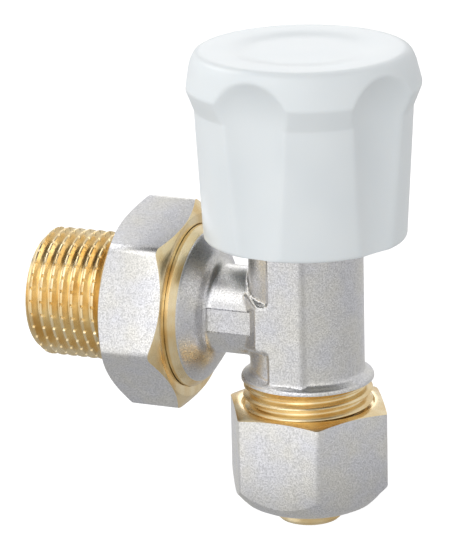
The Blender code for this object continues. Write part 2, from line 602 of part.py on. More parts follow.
def make_cap():
    """The fluted cap, the bush that it turns on, and the ring that grips the bonnet's neck."""
    top = CAP_BOTTOM + CAP_HEIGHT
    crown_low = top - CROWN_HEIGHT
    soffit_low = crown_low - SOFFIT_HEIGHT
    ceiling = top - CAP_WALL - 0.2
    seat = BARREL_TOP + GASKET_HEIGHT + 2 * GAP + BONNET_FLANGE_HEIGHT
    bush_low = seat + GAP
    bush_top = bush_low + BUSH_HEIGHT
    clip_place = bush_top - 3.0
    boss_in = BUSH_RADIUS + GAP
    boss_out = boss_in + BOSS_WALL
    boss_low = bush_low + 2.2
    outer = [(0, top - DISH_DEPTH), (CAP_TOP_RADIUS * 0.6, top - DISH_DEPTH)]
    outer += [(CAP_TOP_RADIUS * 0.68, top)]
    outer += [(CAP_TOP_RADIUS - 0.9, top), (CAP_TOP_RADIUS - 0.15, top - 0.4)]
    outer += [(CROWN_RADIUS - 0.5, top - CROWN_HEIGHT * 0.6), (CROWN_RADIUS, crown_low + 0.5)]
    outer += [(CROWN_RADIUS - 0.1, crown_low), (GRIP_TOP_RADIUS, soffit_low)]
    outer += [(GRIP_BOTTOM_RADIUS, CAP_BOTTOM + 1.0), (GRIP_BOTTOM_RADIUS - 0.6, CAP_BOTTOM)]
    roof_corner = GRIP_TOP_RADIUS - CAP_WALL - 0.9
    clip_low, clip_high = clip_place - CLIP_HEIGHT / 2, clip_place + CLIP_HEIGHT / 2
    outer += [(GRIP_BOTTOM_RADIUS - CAP_WALL, CAP_BOTTOM), (roof_corner, ceiling - 1)]
    outer += [(roof_corner - 1, ceiling), (boss_out, ceiling), (boss_out, boss_low)]
    outer += [(boss_in, boss_low), (boss_in, clip_low), (boss_in - CLIP_DEPTH, clip_low + 0.3)]
    outer += [(boss_in - CLIP_DEPTH, clip_high - 0.3), (boss_in, clip_high)]
    outer += [(boss_in, ceiling), (0, ceiling)]
    shell = turned("cap_shell", outer, WHITE_ABS, ring=False)
    centre = FLUTE_FLOOR_RADIUS + FLUTE_RADIUS
    rise = math.sqrt(FLUTE_RADIUS**2 - (centre - CROWN_RADIUS + 1.2) ** 2)
    dome = crown_low + FLUTE_RISE - rise
    for i in range(FLUTES):
        angle = math.radians(FLUTE_ANGLE + i * 360 / FLUTES)
        arc = [math.radians(90 - 9 * k) for k in range(11)]
        profile = [(FLUTE_RADIUS * math.cos(a), dome + FLUTE_RADIUS * math.sin(a)) for a in arc]
        profile[0] = (0, profile[0][1])
        profile += [(FLUTE_RADIUS, CAP_BOTTOM - 2), (0, CAP_BOTTOM - 2)]
        flute = turned(f"flute_{i}", profile, steps=ROUND_STEPS, ring=False)
        flute.location = (centre * math.cos(angle) * MM, centre * math.sin(angle) * MM, 0)
        flute.rotation_euler = (0, 0, angle)
        combine(shell, flute, "DIFFERENCE")
    smooth(shell)

    grip_place = bush_low + 3.5
    grip_section = 0.6
    grip_in = BONNET_NECK_RADIUS + SEAL_GAP
    bore = BONNET_NECK_RADIUS + GAP
    pocket = grip_in + 2 * grip_section + SEAL_GAP
    half = grip_section + SEAL_GAP
    profile = [(BUSH_RADIUS - 0.4, bush_top), (BUSH_RADIUS, bush_top - 0.4)]
    profile += groove(BUSH_RADIUS, clip_place, CLIP_HEIGHT + 2 * GAP, CLIP_DEPTH)
    profile += [(BUSH_RADIUS, bush_low), (bore, bush_low)]
    profile += [(bore, grip_place - half), (pocket, grip_place - half)]
    profile += [(pocket, grip_place + half), (bore, grip_place + half), (bore, bush_top)]
    smooth(turned("cap_bush", profile, NYLON, steps=SMALL_STEPS))
    seal("cap_grip_ring", grip_in, grip_place, grip_section)


make_body()
make_union()
make_pipe_joint()
make_headwork()
make_cap()
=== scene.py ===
# %% [markdown]
# # An angle lockshield valve
# This valve joins a radiator to the pipe under it. Its body is a hot brass forging, blasted with grit
# and plated with nickel, and then machined where threads and faces have to be true. A CAD model
# settles every size and every joint. This lesson loads it and makes the surfaces that the eye meets.

import json
import math

import bmesh
import bpy
from mathutils import Matrix, Vector


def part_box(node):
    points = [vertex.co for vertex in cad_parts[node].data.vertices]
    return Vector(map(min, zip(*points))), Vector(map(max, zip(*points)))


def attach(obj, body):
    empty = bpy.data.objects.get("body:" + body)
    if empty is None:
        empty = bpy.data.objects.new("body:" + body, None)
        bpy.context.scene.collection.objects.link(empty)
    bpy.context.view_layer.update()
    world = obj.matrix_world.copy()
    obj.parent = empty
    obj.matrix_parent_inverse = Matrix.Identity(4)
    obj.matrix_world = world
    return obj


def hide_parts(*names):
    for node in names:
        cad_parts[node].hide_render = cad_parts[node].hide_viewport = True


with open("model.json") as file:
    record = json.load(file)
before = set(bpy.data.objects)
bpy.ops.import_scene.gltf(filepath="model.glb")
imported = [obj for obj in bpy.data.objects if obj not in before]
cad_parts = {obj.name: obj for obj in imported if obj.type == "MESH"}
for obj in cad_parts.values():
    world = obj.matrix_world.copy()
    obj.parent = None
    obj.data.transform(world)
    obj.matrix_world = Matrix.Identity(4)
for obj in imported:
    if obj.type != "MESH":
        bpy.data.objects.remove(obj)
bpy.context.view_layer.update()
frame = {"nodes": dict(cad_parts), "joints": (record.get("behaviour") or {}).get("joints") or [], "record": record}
MM = 0.001
joints = {joint["name"]: joint for joint in frame["joints"]}

# %% [markdown]
# ## Places taken from the CAD model
# A new piece has to sit where its CAD piece sits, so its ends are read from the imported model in
# millimetres. Distances along the branch count outwards from the spindle's axis, along -X.


# %% Read the ends of the pieces
def reach(node, axis):
    """Lowest and highest place of a CAD node along an axis, in millimetres."""
    low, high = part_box(node)
    return low[axis] / MM, high[axis] / MM


X, Y, Z = range(3)
branch_height = joints["union_nut_turn"]["pos_m"][Z] / MM
inlet_end, barrel_top = reach("valve_body", Z)
outlet_end = -reach("valve_body", X)[0]
tail_end, tail_start = (-place for place in reach("union_tail", X))
union_lip, union_face = (-place for place in reach("union_nut", X))
nut_foot, nut_top = reach("compression_nut", Z)
cap_bottom, cap_top = reach("cap_shell", Z)
branch = Matrix.Translation((0, 0, branch_height * MM)) @ Matrix.Rotation(math.radians(-90), 4, "Y")
print(f"branch axis at {branch_height:.1f} mm, barrel top at {barrel_top:.1f} mm")

# %% [markdown]
# ## Colours and nodes
# Paint charts and screens give colours as sRGB hex values, and shaders work in linear light, so one
# function converts them. Another adds a node with its settings and links in one line. The noise
# patterns are set from real sizes: a scale of 1 has features about a metre wide.


# %% Colour and node helpers
def linear(hex_colour):
    """The linear colour of an sRGB hex value."""
    shares = [int(hex_colour[i:i + 2], 16) / 255 for i in (1, 3, 5)]
    return [c / 12.92 if c <= 0.04045 else ((c + 0.055) / 1.055) ** 2.4 for c in shares] + [1]


def add_node(tree, kind, links, **settings):
    """Adds a node, with its own settings, and values or other nodes' outputs for its sockets."""
    node = tree.nodes.new(kind)
    for name, value in settings.items():
        setattr(node, name, value)
    for socket, source in links.items():
        if isinstance(source, bpy.types.NodeSocket):
            tree.links.new(source, node.inputs[socket])
        else:
            node.inputs[socket].default_value = source
    return node


def per_metre(size):
    """The noise scale whose features are so many millimetres wide."""
    return 1 / (size * MM)


FIRST, SECOND, MIXED = 6, 7, 2  # a Mix node's colour sockets, which share their names with others


def new_finish(name, **values):
    """A material, its node tree and its shader, with constant values on the shader's own sockets."""
    material = bpy.data.materials.new(name)
    material.use_nodes = True
    shader = material.node_tree.nodes["Principled BSDF"]
    for socket, value in values.items():
        shader.inputs[socket].default_value = value
    return material, material.node_tree, shader


print("white in linear light is", linear("#FFFFFF")[:3])

# %% [markdown]
# ## Nickel over a blasted forging
# Grit leaves pits about a tenth of a millimetre wide, and nickel plating follows them. The metal
# looks pale and grainy: each pit's walls throw the light elsewhere. The pits are drawn twice too wide
# so that they show, as a bump and as painted shade: the base colour is darkened in the pits. Wide soft
# clouds between a warm and a cool grey stand for the uneven plating.

# %% Make the plated finish
GRIT = 0.24
PLATING_CLOUDS = 5.0
plated, tree, shader = new_finish("nickel_plated_forging", Metallic=1.0)
spot = add_node(tree, "ShaderNodeTexCoord", {}).outputs["Object"]
grit = add_node(
    tree, "ShaderNodeTexNoise",
    {"Vector": spot, "Scale": per_metre(GRIT), "Detail": 2.0, "Roughness": 0.6},
).outputs["Fac"]
clouds = add_node(
    tree, "ShaderNodeTexNoise", {"Vector": spot, "Scale": per_metre(PLATING_CLOUDS), "Detail": 3.0}
).outputs["Fac"]
tint = add_node(
    tree, "ShaderNodeMapRange", {"Value": clouds, "From Min": 0.35, "From Max": 0.65}
).outputs["Result"]
plating = add_node(
    tree, "ShaderNodeMix", {"Factor": tint, FIRST: linear("#E9E9ED"), SECOND: linear("#EEECE7")},
    data_type="RGBA",
).outputs[MIXED]
pit = add_node(
    tree, "ShaderNodeMapRange", {"Value": grit, "From Min": 0.36, "From Max": 0.6}
).outputs["Result"]
# painted shade: the plating's colour is darkened where the grit's pits lie, for the shade inside them
shade = add_node(
    tree, "ShaderNodeMix", {"Factor": pit, FIRST: linear("#DADADA"), SECOND: linear("#FFFFFF")},
    data_type="RGBA",
).outputs[MIXED]
plating_with_painted_pit_shade = add_node(
    tree, "ShaderNodeMix", {"Factor": 1.0, FIRST: plating, SECOND: shade},
    data_type="RGBA", blend_type="MULTIPLY",
).outputs[MIXED]
tree.links.new(plating_with_painted_pit_shade, shader.inputs["Base Color"])
gloss = add_node(
    tree, "ShaderNodeMapRange",
    {"Value": grit, "From Min": 0.3, "From Max": 0.7, "To Min": 0.42, "To Max": 0.22},
).outputs["Result"]
tree.links.new(gloss, shader.inputs["Roughness"])
relief = add_node(
    tree, "ShaderNodeBump", {"Height": grit, "Strength": 0.5, "Distance": 0.04 * MM}
).outputs["Normal"]
tree.links.new(relief, shader.inputs["Normal"])
print(plated.name, "has", len(tree.nodes), "nodes")

# %% [markdown]
# ## Turned brass
# Threads, chamfers and seats are cut after plating, so they show bare CW617N brass. The tool leaves
# fine rings round the axis, which stretch each highlight into a band. The pattern is noise that is
# squeezed along Z, the turning axis of every mesh here, and hardly changes round it.

# %% Make the brass finish
FEED = 0.35
STAINS = 4.0
RING_STRETCH = (0.02, 0.02, 1.0)
brass, tree, shader = new_finish("turned_brass", Metallic=1.0)
spot = add_node(tree, "ShaderNodeTexCoord", {}).outputs["Object"]
ringed = add_node(
    tree, "ShaderNodeMapping", {"Vector": spot, "Scale": RING_STRETCH}
).outputs["Vector"]
rings = add_node(
    tree, "ShaderNodeTexNoise", {"Vector": ringed, "Scale": per_metre(FEED), "Detail": 3.0}
).outputs["Fac"]
stain = add_node(
    tree, "ShaderNodeTexNoise", {"Vector": spot, "Scale": per_metre(STAINS), "Detail": 4.0}
).outputs["Fac"]
warm = add_node(
    tree, "ShaderNodeMapRange", {"Value": stain, "From Min": 0.35, "From Max": 0.65}
).outputs["Result"]
alloy = add_node(
    tree, "ShaderNodeMix", {"Factor": warm, FIRST: linear("#F8E6BE"), SECOND: linear("#E8CA92")},
    data_type="RGBA",
).outputs[MIXED]
tree.links.new(alloy, shader.inputs["Base Color"])
gloss = add_node(
    tree, "ShaderNodeMapRange",
    {"Value": rings, "From Min": 0.3, "From Max": 0.7, "To Min": 0.18, "To Max": 0.34},
).outputs["Result"]
tree.links.new(gloss, shader.inputs["Roughness"])
relief = add_node(
    tree, "ShaderNodeBump", {"Height": rings, "Strength": 0.4, "Distance": 0.03 * MM}
).outputs["Normal"]
tree.links.new(relief, shader.inputs["Normal"])
print(brass.name, "has", len(tree.nodes), "nodes")

# %% [markdown]
# ## White ABS
# The cap is injection moulded in ABS, a stiff glossy plastic with an IOR of 1.53. Its mould was
# polished, but the skin still shrinks a little unevenly over thick and thin walls, which wavers the
# highlights. A little light enters the plastic before it comes back, so shaded folds stay soft.

# %% Make the cap's finish
SHRINK = 6.0
abs_white, tree, shader = new_finish("moulded_white_abs", IOR=1.53)
shader.inputs["Subsurface Weight"].default_value = 0.15
shader.inputs["Subsurface Radius"].default_value = (1.2, 1.1, 1.0)
shader.inputs["Subsurface Scale"].default_value = MM
spot = add_node(tree, "ShaderNodeTexCoord", {}).outputs["Object"]
waver = add_node(
    tree, "ShaderNodeTexNoise", {"Vector": spot, "Scale": per_metre(SHRINK), "Detail": 0.0}
).outputs["Fac"]
skin_colour = add_node(
    tree, "ShaderNodeMix", {"Factor": waver, FIRST: linear("#E8EEF1"), SECOND: linear("#EEF3F5")},
    data_type="RGBA",
).outputs[MIXED]
tree.links.new(skin_colour, shader.inputs["Base Color"])
gloss = add_node(
    tree, "ShaderNodeMapRange", {"Value": waver, "To Min": 0.28, "To Max": 0.31}
).outputs["Result"]
tree.links.new(gloss, shader.inputs["Roughness"])
relief = add_node(
    tree, "ShaderNodeBump", {"Height": waver, "Strength": 0.1, "Distance": 0.1 * MM}
).outputs["Normal"]
tree.links.new(relief, shader.inputs["Normal"])
print(abs_white.name, "has", len(tree.nodes), "nodes")

# %% [markdown]
# ## Rubber, nylon, PTFE and spring steel
# The small parts inside share one pattern: fine noise that varies the colour and the roughness a
# little. EPDM rubber is nearly black and dull, natural nylon and PTFE are milky, and the clip is
# drawn steel wire.


# %% Make the small parts' finishes
def fine_finish(name, dark, light, grain, rough, **values):
    """A finish whose colour and roughness vary with noise of so many millimetres."""
    material, tree, shader = new_finish(name, **values)
    spot = add_node(tree, "ShaderNodeTexCoord", {}).outputs["Object"]
    noise = add_node(
        tree, "ShaderNodeTexNoise", {"Vector": spot, "Scale": per_metre(grain), "Detail": 3.0}
    ).outputs["Fac"]
    colour = add_node(
        tree, "ShaderNodeMix", {"Factor": noise, FIRST: linear(dark), SECOND: linear(light)},
        data_type="RGBA",
    ).outputs[MIXED]
    gloss = add_node(
        tree, "ShaderNodeMapRange", {"Value": noise, "To Min": rough - 0.08, "To Max": rough + 0.08}
    ).outputs["Result"]
    relief = add_node(
        tree, "ShaderNodeBump", {"Height": noise, "Strength": 0.3, "Distance": 0.02 * MM}
    ).outputs["Normal"]
    tree.links.new(colour, shader.inputs["Base Color"])
    tree.links.new(gloss, shader.inputs["Roughness"])
    tree.links.new(relief, shader.inputs["Normal"])
    return material


# %% [markdown]
# ## One finish for each slot
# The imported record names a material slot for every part, so the finishes go in a table under the same
# names. The CAD pieces that stay in view, such as the seals, get theirs here. A piece that is made
# later looks its finish up in the same table.

# %% Give every CAD piece its finish
finishes = {
    "plated_brass": plated,
    "raw_brass": brass,
    "white_abs": abs_white,
    "epdm": fine_finish("moulded_epdm_rubber", "#141414", "#26262A", 0.4, 0.62, IOR=1.52),
    "nylon": fine_finish("natural_nylon", "#DEDACB", "#EAE7DB", 1.5, 0.48, IOR=1.53),
    "ptfe": fine_finish("skived_ptfe", "#EDEDEA", "#F6F6F4", 0.8, 0.45, IOR=1.35),
    "spring_steel": fine_finish(
        "drawn_spring_steel", "#8F9296", "#B4B6BA", 0.3, 0.3, Metallic=1.0
    ),
}
slot_of = {part["node"]: part["material_slot"] for part in frame["record"]["subparts"]}
for name, node in frame["nodes"].items():
    for slot in node.material_slots:
        slot.material = finishes[slot_of[name]]
print(len(finishes), "finishes")

# %% [markdown]
# ## Turned surfaces
# Almost every piece here is turned on a lathe or screwed, so one function builds them all. It takes
# outlines of radius and height, one for each step of a full turn, and joins each to the next. If the
# outlines are all the same it makes a plain turned piece. If they change with the angle it can make
# threads and flutes, which the Screw modifier can't end neatly.


# %% Lathe helpers
WELD = 0.0004  # points this close in millimetres are one point
ROUND_STEPS = 128


def skin(name, outlines, finish_names, finish_of_row=None):
    """A closed mesh through outlines of (radius, height) in millimetres, spread over a full turn."""
    turns, rows = len(outlines) - 1, len(outlines[0])
    points = []
    for step, outline in enumerate(outlines):
        angle = math.tau * step / turns
        across, along = math.cos(angle) * MM, math.sin(angle) * MM
        points += [(radius * across, radius * along, height * MM) for radius, height in outline]
    faces = []
    for start in range(0, turns * rows, rows):
        for row in range(rows):
            after = (row + 1) % rows
            faces.append((start + row, start + rows + row, start + rows + after, start + after))
    mesh = bpy.data.meshes.new(name)
    mesh.from_pydata(points, [], faces)
    for finish_name in finish_names:
        mesh.materials.append(finishes[finish_name])
    if finish_of_row:
        mesh.polygons.foreach_set("material_index", finish_of_row * turns)
    welded = bmesh.new()
    welded.from_mesh(mesh)
    bmesh.ops.remove_doubles(welded, verts=welded.verts, dist=WELD * MM)
    bmesh.ops.dissolve_degenerate(welded, edges=welded.edges, dist=WELD * MM)
    bmesh.ops.recalc_face_normals(welded, faces=welded.faces)
    welded.to_mesh(mesh)
    welded.free()
    return mesh


def soften(outline, radius, steps=4):
    """Rounds a closed outline's corners with curves that start a radius before each.

    The radius may be a list, with one for each corner.
    """
    rounded = []
    radii = radius if isinstance(radius, list) else [radius] * len(outline)
    for i, (point, radius) in enumerate(zip(outline, radii)):
        corner = Vector(point)
        before = Vector(outline[i - 1]) - corner
        after = Vector(outline[(i + 1) % len(outline)]) - corner
        if point[0] == 0 or radius == 0:
            rounded.append(point)
            continue
        start = corner + before.normalized() * min(radius, before.length * 0.45)
        end = corner + after.normalized() * min(radius, after.length * 0.45)
        for k in range(steps + 1):
            share = k / steps
            rounded.append(tuple(start.lerp(corner, share).lerp(corner.lerp(end, share), share)))
    return rounded


def turned(name, outline, finish_name, edge=0.15, steps=ROUND_STEPS):
    """A plain turned mesh with softened edges."""
    return skin(name, [soften(outline, edge)] * (steps + 1), [finish_name])


print("a full turn has", ROUND_STEPS, "steps")

# %% [markdown]
# ## From meshes to pieces
# A mesh becomes a piece when an object holds it. Cutting and joining are left to Boolean modifiers,
# since the order of cuts then reads like the order of work. When the cuts are done, the result is
# swapped in and the cutters go, so the piece ends as one plain mesh with no modifiers left on it.


# %% Piece helpers
SHARP = math.radians(32)  # an edge that turns more than this stays crisp in the shading


def put(name, mesh, place=None):
    """Puts a mesh in the scene, shaded smooth except over sharp edges."""
    piece = bpy.data.objects.new(name, mesh)
    piece.matrix_world = place or Matrix()
    bpy.context.scene.collection.objects.link(piece)
    mesh.shade_smooth()
    mesh.set_sharp_from_angle(angle=SHARP)
    return piece


def settle(piece):
    """Swaps in the mesh that the modifiers give, and removes the cutters that they used."""
    graph = bpy.context.evaluated_depsgraph_get()
    made = bpy.data.meshes.new_from_object(piece.evaluated_get(graph))
    cutters = [modifier.object for modifier in piece.modifiers if modifier.type == "BOOLEAN"]
    piece.modifiers.clear()
    piece.data = made
    made.name = piece.name
    made.shade_smooth()
    made.set_sharp_from_angle(angle=SHARP)
    for cutter in cutters:
        bpy.data.objects.remove(cutter)


def combine(piece, other, operation):
    """Cuts or intersects a piece with another, whose own finish goes onto the new faces."""
    step = piece.modifiers.new(other.name, "BOOLEAN")
    step.operation = operation
    step.object = other
    step.material_mode = "TRANSFER"


def dress(piece, body, node):
    """The piece rides on a body and stands for a CAD node, which is hidden."""
    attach(piece, body)
    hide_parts(node)


print("edges over", round(math.degrees(SHARP)), "degrees stay crisp")

# %% [markdown]
# ## Screw threads
# A pipe thread is a groove that climbs one pitch with each turn. At each angle the outline is the
# same saw-tooth row of points, shifted along the axis by that share of a pitch and held between the
# thread's two ends. After a whole turn the points meet the first outline one pitch on, and weld.

# %% Thread helpers
PITCH = 1.814
THREAD_DEPTH = 1.162
HALF_INCH = 20.955 / 2
THREE_QUARTER = 26.441 / 2
CREST_TO_ROOT = (0.0, 0.12, 0.5, 0.9, 1.0, 0.9, 0.5, 0.12)
THREAD_STEPS = 120


def thread_rows(radius, low, high, share, notch=0.0, drop=THREAD_DEPTH, grooves=CREST_TO_ROOT):
    """One angle's points of a right-hand thread from low to high, with a lead-in at each end."""
    rows = []
    count = len(grooves)
    for k in range((math.ceil((high - low) / PITCH) + 1) * count + 1):
        height = low + (k / count - 1 + share) * PITCH
        depth = max(drop * grooves[k % count], notch)
        lead_in = drop - min(max(height - low, 0), max(high - height, 0))
        rows.append((radius - max(depth, lead_in, 0), min(max(height, low), high)))
    return rows


print("threads have", THREAD_STEPS, "steps to a turn")


# %% [markdown]
# ## The forged body
# A forging has no sharp corners: the dies' edges are rounded so that hot metal can flow. So the
# outer shapes are overlapped, turned into one skin of small cubes and smoothed a little, which rounds
# every join by about half a millimetre. Only then are the bores, faces and grooves cut, and they stay
# crisp, as machining leaves them. Bevels on the joins of two cylinders would be far harder to control.

# %% Set the forging's sizes
BARREL_RADIUS = 9.2
BEAD_RADIUS = 10.7
BEAD_FOOT = 23.9
BEAD_TOP = 24.5
BEAD_FLARE = 0.85
NECK_RADIUS = 7.15
FLANGE_PLACE = 17.6
FLANGE_RADIUS = 12.32
SPARE = 1.5  # metal left on for the cutters to take off


def plate(outline, front, back, back_outline=None):
    """A slab between a front outline of (x, z) and a back one, which is the same if left out."""
    shape = bmesh.new()
    rings = [
        [shape.verts.new((x * MM, place * MM, z * MM)) for x, z in points]
        for points, place in ((outline, front), (back_outline or outline, back))
    ]
    for i in range(len(outline)):
        shape.faces.new((rings[0][i - 1], rings[0][i], rings[1][i], rings[1][i - 1]))
    for ring in rings:
        shape.faces.new(ring)
    bmesh.ops.recalc_face_normals(shape, faces=shape.faces)
    mesh = bpy.data.meshes.new("plate")
    shape.to_mesh(mesh)
    shape.free()
    return mesh


print("the barrel is", 2 * BARREL_RADIUS, "mm across")

# %% [markdown]
# ## The forging's outlines
# The barrel and the neck are round, so an outline of radius and height is enough for each. The third
# shape is the flat pad down the front. A forging has to leave its die, so the pad's sides lean out
# towards the back, which comes from giving the slab a larger outline there than in front.

# %% Draw the forging's outlines
barrel = [(0, barrel_top + SPARE), (BARREL_RADIUS, barrel_top + SPARE)]
barrel += [(BARREL_RADIUS, BEAD_TOP + BEAD_FLARE), (BARREL_RADIUS + 0.45, BEAD_TOP + 0.45)]
barrel += [(BEAD_RADIUS - 0.3, BEAD_TOP + 0.15), (BEAD_RADIUS, BEAD_TOP - 0.1)]
barrel += [(BEAD_RADIUS, BEAD_FOOT - SPARE), (0, BEAD_FOOT - SPARE)]
neck = [(0, 0), (NECK_RADIUS, 0)]
neck += [(NECK_RADIUS, 14.2), (7.75, 14.9), (9.15, 15.4)]  # the neck flares into the flange
neck += [(FLANGE_RADIUS + 0.1, FLANGE_PLACE), (FLANGE_RADIUS + 0.1, FLANGE_PLACE + SPARE)]
neck += [(0, FLANGE_PLACE + SPARE)]
PAD_HALF, PAD_FACE = 2.85, 9.55
ARM_REACH, ARM_HALF = 5.1, 3.75
SIDE_DRAFT, END_DRAFT, RISE_DRAFT = 1.8, 4.0, 1.2  # how far the sides lean out to leave the die


def pad_outline(side=0, end=0, rise=0):
    """The plate's outline of (x, z), grown by a draft on each kind of side."""
    half, far, top = PAD_HALF + side, ARM_REACH + end, ARM_HALF + rise
    points = [(half, BEAD_TOP - 0.5), (half, barrel_top + SPARE), (-half, barrel_top + SPARE)]
    points += [(-half, branch_height + top), (-far, branch_height + top)]
    points += [(-far, branch_height - top), (-half, branch_height - top), (-half, BEAD_TOP - 0.5)]
    return soften(points, 0.8)


pad_back = pad_outline(SIDE_DRAFT, END_DRAFT, RISE_DRAFT)
print("the pad is", 2 * PAD_HALF, "mm wide in front")

# %% [markdown]
# ## Joining the forging
# The three shapes only overlap at first. The Remesh modifier keeps the skin round all of them, and the
# Smooth modifier then lets the joins flow into one another, as metal in a die does.

# %% Join and soften the forging
PAD_DEPTH = 5.0
CUBE = 0.24
blank = bmesh.new()
barrel_mesh = turned("barrel", barrel, "plated_brass", edge=0.3)
neck_mesh = turned("neck", neck, "plated_brass", edge=0.4)
neck_mesh.transform(branch)
for shell in (barrel_mesh, neck_mesh, plate(pad_outline(), -PAD_FACE, -PAD_DEPTH, pad_back)):
    blank.from_mesh(shell)
forging_mesh = bpy.data.meshes.new("body_forging")
blank.to_mesh(forging_mesh)
blank.free()
forging_mesh.materials.clear()
forging_mesh.materials.append(plated)
forging = put("body_forging", forging_mesh)
cubes = forging.modifiers.new("cubes", "REMESH")
cubes.mode = "VOXEL"
cubes.voxel_size = CUBE * MM
flow = forging.modifiers.new("flow", "SMOOTH")
flow.factor = 0.5
flow.iterations = 3
settle(forging)
print(len(forging.data.polygons), "faces on the forging")

# %% [markdown]
# ## Machining the body
# The waterway is bored from both ends and down from the top, where the headwork screws in. The
# stepped cutters below have the finish that the cut shows, and the Boolean carries it over.

# %% Bore and face the forging
THROAT, SEAT_HEIGHT = 5.0, 29.5
HEADWORK_BORE, CHAMBER, CHAMBER_TOP = 7.8, 6.9, 41.0
SPIGOT_BORE, SPIGOT_TOP, SOCKET, SOCKET_TOP = 6.4, 19.1, 8.3, 14.5
SEAT_DEPTH = 1.2
wide = BARREL_RADIUS + 4
top_cut = [(0, barrel_top + 3), (wide, barrel_top + 3), (wide, barrel_top)]
top_cut += [(HEADWORK_BORE, barrel_top), (HEADWORK_BORE, CHAMBER_TOP), (CHAMBER, CHAMBER_TOP)]
top_cut += [(CHAMBER, SEAT_HEIGHT - SEAT_DEPTH), (THROAT + 1, SEAT_HEIGHT - SEAT_DEPTH)]
top_cut += [(THROAT + 1, SEAT_HEIGHT)]
top_cut += [(THROAT, SEAT_HEIGHT), (THROAT, BEAD_FOOT), (wide, BEAD_FOOT), (wide, BEAD_FOOT - 4)]
top_cut += [(0, BEAD_FOOT - 4)]
side_cut = [(0, FLANGE_PLACE + 4), (wide + 4, FLANGE_PLACE + 4), (wide + 4, FLANGE_PLACE)]
side_cut += [(THROAT, FLANGE_PLACE), (THROAT, 1), (0, 1)]
for name, outline, place in (("top_cut", top_cut, None), ("side_cut", side_cut, branch)):
    combine(forging, put(name, turned(name, outline, "raw_brass", edge=0), place), "DIFFERENCE")

# %% [markdown]
# ## The band on the branch
# A narrow flat band runs along the front of the neck, with a groove at each edge. Three thin slabs
# cut it: two for the grooves, and one that skims the round neck flat between them.

# %% Cut the band on the branch
BAND_HALF, BAND_START, BAND_END = 1.95, -ARM_REACH + 1, -14.5
HALF_GROOVE, GROOVE_DEPTH, BAND_SKIM = 0.12, 0.45, -0.02
band_face = math.sqrt(NECK_RADIUS**2 - BAND_HALF**2)
for name, low, high, depth in (
    ("band_line_low", -BAND_HALF - HALF_GROOVE, -BAND_HALF + HALF_GROOVE, GROOVE_DEPTH),
    ("band_line_high", BAND_HALF - HALF_GROOVE, BAND_HALF + HALF_GROOVE, GROOVE_DEPTH),
    ("band_flat", -BAND_HALF, BAND_HALF, BAND_SKIM),
):
    low, high = low + branch_height, high + branch_height
    outline = [(BAND_END, low), (BAND_START, low), (BAND_START, high), (BAND_END, high)]
    groove = plate(outline, -NECK_RADIUS - 0.6, -band_face + depth)
    groove.materials.append(plated)
    combine(forging, put(name, groove), "DIFFERENCE")
settle(forging)
dress(forging, "valve", "valve_body")
print(len(forging.data.polygons), "faces on the machined body")

# %% [markdown]
# ## The body's two threads
# Both ends of the body are threaded after plating, so they are bare brass. In the real valve they are
# one with the forging. Here each is its own sleeve, because its finish and its mesh are so different.

# %% Cut the inlet and outlet threads
COLLAR_END, UNION_BORE, UNION_BORE_DEPTH = 19.6, 8.6, 4.5
inlet = []
outlet = []
for step in range(THREAD_STEPS + 1):
    share = step / THREAD_STEPS
    rows = thread_rows(HALF_INCH, inlet_end, BEAD_FOOT, share)
    rows += [(THROAT, BEAD_FOOT), (THROAT, SPIGOT_TOP), (SPIGOT_BORE, SPIGOT_TOP)]
    rows += [(SPIGOT_BORE, SOCKET_TOP), (SOCKET, SOCKET_TOP), (SOCKET, inlet_end)]
    inlet.append(rows)
    rows = [(THROAT, FLANGE_PLACE), (FLANGE_RADIUS, FLANGE_PLACE)]
    rows += [(THREE_QUARTER - 0.15, FLANGE_PLACE + 0.8)]
    rows += [(THREE_QUARTER, FLANGE_PLACE + 1.0), (THREE_QUARTER, COLLAR_END)]
    rows += thread_rows(THREE_QUARTER, COLLAR_END, outlet_end, share)
    rows += [(UNION_BORE, outlet_end), (UNION_BORE, outlet_end - UNION_BORE_DEPTH)]
    rows += [(THROAT, outlet_end - UNION_BORE_DEPTH)]
    outlet.append(rows)
inlet_thread = put("inlet_thread", skin("inlet_thread", inlet, ["raw_brass"]))
outlet_thread = put("outlet_thread", skin("outlet_thread", outlet, ["raw_brass"]), branch)
for sleeve in (inlet_thread, outlet_thread):
    dress(sleeve, "valve", "valve_body")
    print(sleeve.name, "has", len(sleeve.data.polygons), "faces")

# %% [markdown]
# ## The union tail
# The tail screws into the radiator on hemp or tape. To hold the fibres, each crest is nicked every
# twelve degrees, and the nicks catch the light as rows of bright points. They are made by lowering
# the crest at every eighth outline.

